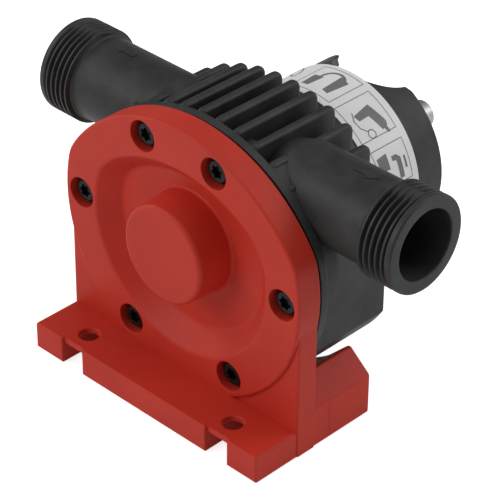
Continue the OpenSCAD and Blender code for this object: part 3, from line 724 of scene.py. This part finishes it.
# the ridge's section, sunk in the root by three tenths of its depth
corner = []
for depth, width, sign in ((0.3, "Base", 1.0), (-1.0, "Crest", 1.0), (-1.0, "Crest", -1.0), (0.3, "Base", -1.0)):
    out = math_node(tree, "MULTIPLY", g["Depth"], depth)
    corner.append(add(tree, "ShaderNodeCombineXYZ", X=out, Y=math_node(tree, "MULTIPLY", g[width], sign)).outputs[0])
section = add(tree, "GeometryNodeCurvePrimitiveQuadrilateral", {"mode": "POINTS"},
              Point_1=corner[0], Point_2=corner[1], Point_3=corner[2], Point_4=corner[3])
ridge = add(tree, "GeometryNodeCurveToMesh", Curve=tapered.outputs[0], Profile_Curve=section.outputs[0],
            Fill_Caps=True)
close_tree(tree, given, ridge.outputs[0])
for side in (1, -1):
    thread = grow("pipe thread", tree, values)
    thread = bake(thread, "thread_right" if side > 0 else "thread_left", black, "pump_body")
    way = Matrix.Rotation(side * math.pi / 2, 4, "Y")
    thread.data.transform(Matrix.Translation(outlet_place(side)(0, 0, THREAD_START + 0.5)) @ way)

# ---------------------------------------------------------------- barrel and skirt
# The rear barrel carries the bearing hub. Its skirt is notched above and below so
# that a chuck key reaches the drill's chuck.

BARREL_R, BARREL_BACK, COLLAR_BACK, HUB_FACE_R = 25.7, 62.7, 38.0, 27.5
SKIRT_R, SKIRT_IN, SKIRT_BACK, SKIRT_FLOOR = 25.4, 22.3, 72.5, 46.0
NOTCH_R, NOTCH_Y = 12.0, 74.2
HUB_R, HUB_BACK = 14.5, 54.2
BEARING_BORE_R, BEARING_SEAT, CLIP_GROOVE_R = 11.02, 45.0, 11.7
CLIP_FRONT, CLIP_BACK = 52.05, 53.25
SEAL_BORE_R, SEAL_SEAT, SHAFT_HOLE_R, REAR_WASHER_SEAT = 9.02, 37.0, 4.6, 34.8


def rim_at(r, t):
    """Depth of the skirt's rim: straight, or the notch's round edge."""
    x = abs(r * math.cos(t))
    if x >= NOTCH_R:
        return SKIRT_BACK
    return min(SKIRT_BACK, NOTCH_Y - math.sqrt(NOTCH_R ** 2 - x * x))


bm = bmesh.new()
columns = []
for k in range(360):
    t = math.radians(k)
    # (radius, depth, rounding), from the joint with the body over the outside to the bores
    profile = [(20.5, CHAMBER_BACK, 0), (HUB_FACE_R, CHAMBER_BACK, 0), (HUB_FACE_R, COLLAR_BACK, 0),
               (BARREL_R, COLLAR_BACK, 0), (BARREL_R, BARREL_BACK, 0.2), (SKIRT_R, BARREL_BACK + 0.05, 0),
               (SKIRT_R, rim_at(SKIRT_R, t), 0.35), (SKIRT_IN, rim_at(SKIRT_IN, t), 0.35),
               (SKIRT_IN, SKIRT_FLOOR, 1.5), (HUB_R, SKIRT_FLOOR, 1.0), (HUB_R, HUB_BACK, 0.5),
               (BEARING_BORE_R, HUB_BACK, 0.4), (BEARING_BORE_R, CLIP_BACK, 0), (CLIP_GROOVE_R, CLIP_BACK, 0),
               (CLIP_GROOVE_R, CLIP_FRONT, 0), (BEARING_BORE_R, CLIP_FRONT, 0), (BEARING_BORE_R, BEARING_SEAT, 0),
               (SEAL_BORE_R, BEARING_SEAT, 0), (SEAL_BORE_R, SEAL_SEAT, 0), (SHAFT_HOLE_R, SEAL_SEAT, 0),
               (SHAFT_HOLE_R, REAR_WASHER_SEAT, 0), (WASHER_SEAT_R, REAR_WASHER_SEAT, 0),
               (WASHER_SEAT_R, CHAMBER_BACK, 0)]
    line = rounded([point[:2] for point in profile], [point[2] for point in profile], steps=3)
    columns.append([put(r * math.cos(t), w, r * math.sin(t)) for r, w in line])
join_rings(bm, [ring_of(bm, ring) for ring in zip(*columns)], closed=True)
piece("housing_barrel", bm, black, "pump_body", ["rear_barrel"])

# ---------------------------------------------------------------- cover screws
# Six pan-head thread-forming screws with a six-lobed socket, blackened, each sunk
# in its counterbore and turned as it happened to stop.

HEAD_R, HEAD_TOP, SHANK_R, SHANK_END = 3.5, 1.25, 1.75, 12.25
LOBE_R, LOBE_WAVE, SOCKET_FLOOR = 1.62, 0.30, 2.6
SCREW_SIDES = 60


def on_screw(u, v, w):
    return Vector((u, w, v)) * MM


bm = bmesh.new()
dome = rounded([(HEAD_R, SCREW_SEAT), (HEAD_R, 2.0), (2.9, HEAD_TOP + 0.1), (2.2, HEAD_TOP)], [0.1, 0.5, 0.5, 0],
               steps=4, closed=False)
socket = turn(bm, dome, on_screw, SCREW_SIDES, closed=False)[-1:]
# six lobes, with a slight lead-in at the top
for depth, wide in ((HEAD_TOP, 1.06), (HEAD_TOP + 0.1, 1.0), (SOCKET_FLOOR, 1.0)):
    lobes = []
    for k in range(SCREW_SIDES):
        t = 2 * math.pi * k / SCREW_SIDES
        r = (LOBE_R + LOBE_WAVE * math.cos(6 * t)) * wide
        lobes.append(on_screw(r * math.cos(t), r * math.sin(t), depth))
    socket.append(ring_of(bm, lobes))
join_rings(bm, socket)
bm.faces.new(socket[-1])
shank = [(HEAD_R, SCREW_SEAT), (SHANK_R, SCREW_SEAT), (SHANK_R, SHANK_END), (0.9, SHANK_END + 1.4)]
bm.faces.new(turn(bm, shank, on_screw, SCREW_SIDES, closed=False)[-1])
bmesh.ops.remove_doubles(bm, verts=bm.verts, dist=1e-7)
mesh = bpy.data.meshes.new("screw blank")
bm.to_mesh(mesh)
bm.free()
blank = placed("screw blank", mesh)
spots = bpy.data.meshes.new("screw spots")
spots.from_pydata([put(x, 0, z) for x, z in SCREW_PLACES], [], [])
marks = placed("screw spots", spots)

# phosphated and oiled steel: dark grey with a soft shine and faint blotches
dark_steel = stock("blackened screw steel", "#202123", 0.25, 0.12, [(0.3, "#17181A"), (0.75, "#2D2E31")],
                   Metallic=0.75, Roughness=0.34)
values = {"Blank": blank, "Spots": marks, "Seed": 7, "Material": dark_steel}
tree, given = tree_of("cover screws", **values)
g = given.outputs
at = add(tree, "GeometryNodeObjectInfo", Object=g["Spots"])
head = add(tree, "GeometryNodeObjectInfo", Object=g["Blank"])
spin = add(tree, "FunctionNodeRandomValue", {"data_type": "FLOAT"}, _2=0.0, _3=1.05, Seed=g["Seed"])
turned = add(tree, "ShaderNodeCombineXYZ", Y=spin.outputs[1]).outputs[0]
many = add(tree, "GeometryNodeInstanceOnPoints", Points=at.outputs["Geometry"], Instance=head.outputs["Geometry"],
           Rotation=turned)
close_tree(tree, given, many.outputs[0])
bake(grow("cover screws", tree, values), "cover_screws", dark_steel, "pump_body",
     ["screw_top_right", "screw_top_left", "screw_left", "screw_low_left", "screw_low_right", "screw_right"])
bpy.data.objects.remove(blank)
bpy.data.objects.remove(marks)

# ---------------------------------------------------------------- wrap label
# A printed polyester sticker wrapped round the barrel: satin white film with thin
# grey frames and grey plain figures of hose, bucket and drill parts.

LABEL_R, LABEL_IN_R, LABEL_FRONT, LABEL_BACK = 25.95, 25.72, 45.8, 62.6
LABEL_FIRST, LABEL_LAST = -20, 200
bm = bmesh.new()
lines = []
for degree in range(LABEL_FIRST, LABEL_LAST + 1):
    t = math.radians(degree)
    lines.append(ring_of(bm, [put(r * math.cos(t), w, r * math.sin(t)) for r, w in (
        (LABEL_IN_R, LABEL_FRONT), (LABEL_R, LABEL_FRONT + 0.03), (LABEL_R, LABEL_BACK - 0.03),
        (LABEL_IN_R, LABEL_BACK))]))
join_rings(bm, lines)
bm.faces.new(lines[0])
bm.faces.new(lines[-1])
# polyester film: even white with a slight sheen and a trace of ink grain
film = stock("white polyester film", "#F3F3F5", 0.35, 0.05, [(0.3, "#EDEDED"), (0.7, "#F7F7F7")], Roughness=0.42)
piece("label_film", bm, film, "pump_body", ["wrap_label"])

ink_bm = bmesh.new()


def flat_place(u, v, w):
    return Vector((u, v, w))


def print_shape(points):
    """A printed figure: outline points of (mm round the barrel, depth), laid on the film."""
    cap(ink_bm, [level(ink_bm, points, 0, flat_place)], flat_place, 0)


def print_line(points, width, closed=False):
    """A printed line of even width along the points."""
    pts = [Vector(p) for p in points]
    count = len(pts) if closed else len(pts) - 1
    for i in range(count):
        a, b = pts[i], pts[(i + 1) % len(pts)]
        if (b - a).length < 1e-6:
            continue
        d = (b - a).normalized() * width / 2
        s = Vector((-d.y, d.x))
        print_shape([(p.x, p.y) for p in (a - d - s, b + d - s, b + d + s, a - d + s)])


def turned_shape(points, angle, at):
    c, s = math.cos(math.radians(angle)), math.sin(math.radians(angle))
    return [(at[0] + x * c - y * s, at[1] + x * s + y * c) for x, y in points]


ARC = math.pi * LABEL_R / 180
FRAME_LINE, PRINT_LIFT, PRINT_T, CUT_STEP = 0.22, 0.03, 0.02, 0.9
for a0, a1, y0, y1 in ((75.6, 105.5, 47.9, 61.0), (43.6, 70.0, 47.4, 60.3), (13.0, 37.0, 48.6, 60.3),
                       (-12.0, 7.0, 48.0, 60.3), (133.0, 158.0, 47.8, 60.6), (163.0, 188.0, 47.8, 60.6)):
    print_line([(a0 * ARC, y0), (a1 * ARC, y0), (a1 * ARC, y1), (a0 * ARC, y1)], FRAME_LINE, closed=True)
# round mark beside the first frame
print_line(turned_shape([(3.6 * math.cos(k * math.pi / 16), 1.5 * math.sin(k * math.pi / 16)) for k in range(32)],
                        60, (120.5 * ARC, 57.0)), 0.55, closed=True)
# two buckets with a hose arched between them
mid = 90.5 * ARC
print_shape([(mid - 4.6, 57.8), (mid - 1.2, 58.6), (mid - 1.8, 50.6), (mid - 3.9, 50.2)])
print_line(circle(mid - 0.2, 56.0, 3.4, 24)[:13], 0.8)
print_shape([(mid + 2.2, 55.6), (mid + 5.4, 55.6), (mid + 4.9, 49.9), (mid + 2.7, 49.9)])
# drill body with a grip and its trailing lead
mid = 56.5 * ARC
print_shape(turned_shape([(-4.3, -1.3), (0.8, -1.5), (1.6, -5.0), (3.6, -5.0), (3.2, -0.6), (3.0, 1.4), (-3.2, 1.5),
                          (-4.3, 0.9)], -16, (mid - 0.4, 56.2)))
print_shape(turned_shape([(-6.0, -0.45), (-4.2, -0.7), (-4.2, 0.5), (-6.0, 0.35)], -16, (mid - 0.4, 56.2)))
print_line([(mid + 2.6, 50.6), (mid + 0.4, 49.4), (mid - 2.0, 49.8), (mid - 3.6, 51.4)], 0.3)
print_line(circle(mid - 4.6, 52.2, 1.2, 16), 0.3, closed=True)
# tap over a watering can
mid = 25.0 * ARC
print_shape([(mid - 4.4, 57.6), (mid + 1.0, 57.6), (mid + 2.2, 56.4), (mid + 2.2, 54.6), (mid + 1.0, 54.6),
             (mid + 0.6, 56.0), (mid - 4.4, 56.0)])
print_line([(mid - 2.0, 58.9), (mid + 0.6, 58.9)], 0.7)
print_shape([(mid - 0.8, 53.2), (mid + 3.6, 53.2), (mid + 3.2, 49.6), (mid - 0.4, 49.6)])
print_line([(mid - 0.6, 50.6), (mid - 4.2, 53.6)], 0.5)
# coiled hose
mid = 145.0 * ARC
for r in (3.9, 3.0, 2.1):
    print_line(circle(mid, 54.2, r, 32), 0.4, closed=True)
# bucket with a raised handle
mid = 175.5 * ARC
print_shape([(mid - 3.6, 50.2), (mid + 3.6, 50.2), (mid + 2.8, 56.0), (mid - 2.8, 56.0)])
print_line([(mid - 2.6, 56.2), (mid, 59.0), (mid + 2.6, 56.2)], 0.5)
# hose hung over a wall
mid = -2.5 * ARC
print_line([(mid - 2.4, 50.0), (mid - 2.4, 58.4), (mid + 2.4, 58.4), (mid + 2.4, 50.0)], 0.7)

# cut across in narrow strips, then rolled round the film
for k in range(-10, 100):
    bmesh.ops.bisect_plane(ink_bm, geom=ink_bm.verts[:] + ink_bm.edges[:] + ink_bm.faces[:],
                           plane_co=(k * CUT_STEP, 0, 0), plane_no=(1, 0, 0))
for v in ink_bm.verts:
    t = math.radians(v.co.x / ARC)
    v.co = put((LABEL_R + PRINT_LIFT) * math.cos(t), v.co.y, (LABEL_R + PRINT_LIFT) * math.sin(t))
# screen-printed grey ink, a little uneven in cover
ink = stock("grey printing ink", "#747474", 0.2, 0.05, [(0.3, "#6C6C6C"), (0.7, "#828282")], Roughness=0.5)
bmesh.ops.solidify(ink_bm, geom=ink_bm.faces[:], thickness=PRINT_T * MM)
bmesh.ops.recalc_face_normals(ink_bm, faces=ink_bm.faces)
mesh = bpy.data.meshes.new("label_print")
ink_bm.to_mesh(mesh)
ink_bm.free()
mesh.materials.append(ink)
printed = placed("label_print", mesh)
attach(printed, "pump_body")

# ---------------------------------------------------------------- drive shaft
# Ground 8 mm steel shaft with broken edges and a groove for its circlip; the bare
# tip goes in the drill's chuck.

SHAFT_R, SHAFT_GROOVE_R, SHAFT_FRONT, SHAFT_TIP = 4.0, 3.7, -1.5, 94.9
bm = bmesh.new()
line = rounded([(0.01, SHAFT_FRONT), (3.2, SHAFT_FRONT), (SHAFT_R, -0.7), (SHAFT_R, CLIP_FRONT),
                (SHAFT_GROOVE_R, CLIP_FRONT), (SHAFT_GROOVE_R, CLIP_BACK), (SHAFT_R, CLIP_BACK), (SHAFT_R, 94.0),
                (3.1, SHAFT_TIP), (0.01, SHAFT_TIP)], [0, 0.2, 0.2, 0, 0, 0, 0, 0.4, 0.4, 0], steps=3, closed=False)
ends = turn(bm, line, along_y, n=72, closed=False)
bm.faces.new(ends[0])
bm.faces.new(ends[-1])
# centreless-ground steel: bright, with fine rings left by the wheel
steel = stock("ground shaft steel", "#A2A2A5", 0.6, 0.12, [(0.3, "#A9A9AD"), (0.7, "#C6C6C9")], (0.15, 4.0, 0.15),
              Metallic=1.0, Roughness=0.42)
piece("shaft_bar", bm, steel, "rotor", ["drive_shaft"])

# ---------------------------------------------------------------- impeller
# Moulded rubber wheel with six vanes, bonded on a brass insert; the vane under the
# cam is bent over.

WHEEL_FRONT, WHEEL_BACK = 8.1, 33.6
WHEEL_HUB_R, WHEEL_BORE_R, VANE_ROOT_R, VANE_TIP_R = 11, 7.02, 10.3, 24.7
VANE_HALF, VANE_FLARE = 1.3, 1.4
bm = bmesh.new()


def vane(base, tip, bead=2.2):
    """One vane from the hub, where it flares, to its beaded tip."""
    d = (Vector(tip) - Vector(base)).normalized()
    s = Vector((-d.y, d.x))
    shape = []
    for side, stations in ((-1, (0, 2, None)), (1, (None, 2, 0))):
        for run in stations:
            half = side * (VANE_HALF + (VANE_FLARE if run == 0 else 0))
            start = Vector(tip) if run is None else Vector(base) + d * run
            shape.append(tuple(start + s * half))
    slab(bm, shape, WHEEL_FRONT, WHEEL_BACK, 0.3, 0.3, steps=2)
    slab(bm, circle(*tip, bead, 24), WHEEL_FRONT, WHEEL_BACK, 0.4, 0.4, steps=2)


slab(bm, circle(0, 0, WHEEL_HUB_R, 96), WHEEL_FRONT, WHEEL_BACK, 0.4, 0.4,
     holes=[circle(0, 0, WHEEL_BORE_R, 64)], steps=3)
for a in (27, 153, 210, 270, 330):
    c, s = math.cos(math.radians(a)), math.sin(math.radians(a))
    vane((VANE_ROOT_R * c, VANE_ROOT_R * s), (VANE_TIP_R * c, VANE_TIP_R * s))
# the bent vane, in two straight lengths
vane((0.9, 10.0), (1.7, 14.8), bead=1.3)
vane((1.7, 14.8), (9.2, 17.9))
# moulded neoprene: black with a soft, faintly wet sheen
wheel_rubber = stock("moulded impeller rubber", "#141414", 0.5, 0.15, Roughness=0.6)
piece("impeller_wheel", bm, wheel_rubber, "rotor", ["impeller"])

# ---------------------------------------------------------------- inner metalwork
# The pieces inside keep their exact solids and get the finish of the real stock:
# turned brass, sintered bronze, pressed sheet, bearing steel, nylon and spring steel.

brass = stock("turned brass", "#C9A55A", 0.4, 0.1, (), (0.2, 3.0, 0.2), Metallic=1.0, Roughness=0.32)
bronze = stock("sintered bronze", "#A87A45", 0.15, 0.3, [(0.35, "#8F6638"), (0.6, "#B08450")],
               Metallic=1.0, Roughness=0.5)
sheet = stock("pressed sheet steel", "#8C8D91", 0.5, 0.1, Metallic=1.0, Roughness=0.38)
race = stock("honed bearing steel", "#C4C5C8", 0.4, 0.05, (), (0.2, 4.0, 0.2), Metallic=1.0, Roughness=0.16)
nylon = stock("natural nylon", "#DBD6C4", 0.4, 0.08, Roughness=0.45, Subsurface_Weight=0.15)
lip = stock("brown-black seal rubber", "#1B1614", 0.3, 0.1, Roughness=0.55)
spring_steel = stock("blued spring steel", "#26272B", 0.3, 0.1, [(0.3, "#1D1E22"), (0.7, "#31333A")],
                     Metallic=0.9, Roughness=0.35)
for material, names in ((brass, ["impeller_insert", "bearing_cage"]), (bronze, ["front_bush"]),
                        (sheet, ["seal_case", "bearing_front_shield", "bearing_rear_shield"]),
                        (race, ["bearing_outer_ring", "bearing_inner_ring", "bearing_balls"]),
                        (nylon, ["front_washer", "rear_washer"]), (lip, ["seal_lip"]),
                        (steel, ["drive_pin", "seal_spring"]), (spring_steel, ["bore_circlip", "shaft_circlip"])):
    for name in names:
        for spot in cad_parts[name].material_slots:
            spot.material = material

# ---------------------------------------------------------------- studio
# White sweep, broad soft lights from above and a camera where the photograph was taken.

SWEEP_HALF, SWEEP_DROP = 4, 0.0004
floor_mesh = bpy.data.meshes.new("white sweep")
corners = [(x * SWEEP_HALF, y * SWEEP_HALF, -SWEEP_DROP) for x, y in ((-1, -1), (1, -1), (1, 1), (-1, 1))]
floor_mesh.from_pydata(corners, [], [(0, 1, 2, 3)])
floor = placed("white sweep", floor_mesh)
sweep, tree, shader = finish_of("white paper sweep", "#F4F4F4", Roughness=0.9)
rays = add(tree, "ShaderNodeLightPath").outputs
shine = add(tree, "ShaderNodeMath", {"operation": "MULTIPLY"}, _0=rays["Is Glossy Ray"], _1=0.3)
seen = add(tree, "ShaderNodeMath", {"operation": "MAXIMUM"}, _0=rays["Is Camera Ray"], _1=shine.outputs[0])
glow = add(tree, "ShaderNodeEmission", Strength=0.78)
mix = add(tree, "ShaderNodeAddShader", _0=shader.outputs[0])
lit = add(tree, "ShaderNodeMixShader", Fac=seen.outputs[0], _1=shader.outputs[0], _2=mix.outputs[0])
tree.links.new(glow.outputs[0], mix.inputs[1])
tree.links.new(lit.outputs[0], tree.nodes["Material Output"].inputs["Surface"])
floor_mesh.materials.append(sweep)
floor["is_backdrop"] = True

world = bpy.data.worlds.new("studio air")
bpy.context.scene.world = world
world.use_nodes = True
tree = world.node_tree
room = tree.nodes["Background"]
room.inputs["Color"].default_value = linear("#FFFFFF")
room.inputs["Strength"].default_value = 0.2
seen = add(tree, "ShaderNodeLightPath").outputs["Is Camera Ray"]
white = add(tree, "ShaderNodeBackground", Color=linear("#FFFFFF"), Strength=1.0)
both = add(tree, "ShaderNodeMixShader", Fac=seen, _1=room.outputs[0], _2=white.outputs[0])
tree.links.new(both.outputs[0], tree.nodes["World Output"].inputs["Surface"])


# softboxes: place in metres, side of the square in metres, watts; all face the pump's middle
AIM = Vector((0, 0, 0.05))
for name, place, size, power in (("key softbox", (-0.4, -0.85, 0.6), 0.6, 3.7),
                                 ("left softbox", (-0.9, -0.2, 0.5), 0.5, 1.8),
                                 ("top softbox", (0.15, 0.25, 1.05), 0.8, 2.6),
                                 ("side softbox", (0.85, 0.5, 0.2), 0.4, 0.25),
                                 ("rear softbox", (0.5, 0.75, 0.5), 0.5, 2.6)):
    light = bpy.data.lights.new(name, "AREA")
    light.shape, light.size, light.size_y, light.energy = "RECTANGLE", size, size, power
    obj = placed(name, light)
    obj.location = place
    obj.rotation_euler = (AIM - Vector(place)).to_track_quat("-Z", "Y").to_euler()

# camera: its turn, tilt and roll in degrees, its place in mm and its focal length in pixels
AZIMUTH, TILT, ROLL, PLACE, FOCAL, PIXELS, SENSOR = 44.07, 33.86, 0.59, (364.1, -390.7, 383.1), 2411.0, 500, 36
eye = bpy.data.cameras.new("camera")
camera = placed("camera", eye)
bpy.context.scene.camera = camera
turn_a, tilt_a, roll_a = math.radians(AZIMUTH), math.radians(TILT), math.radians(ROLL)
back = Vector((math.sin(turn_a) * math.cos(tilt_a), -math.cos(turn_a) * math.cos(tilt_a), math.sin(tilt_a)))
right = Vector((math.cos(turn_a), math.sin(turn_a), 0))
up = back.cross(right)
right, up = right * math.cos(roll_a) + up * math.sin(roll_a), up * math.cos(roll_a) - right * math.sin(roll_a)
spot = Vector(PLACE) * MM
camera.matrix_world = Matrix((
    (right.x, up.x, back.x, spot.x), (right.y, up.y, back.y, spot.y), (right.z, up.z, back.z, spot.z), (0, 0, 0, 1)))
eye.sensor_width = SENSOR
eye.lens = FOCAL / PIXELS * SENSOR
eye.clip_start, eye.clip_end = 0.01, 20
bpy.context.scene.view_settings.view_transform = "Standard"

low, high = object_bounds()
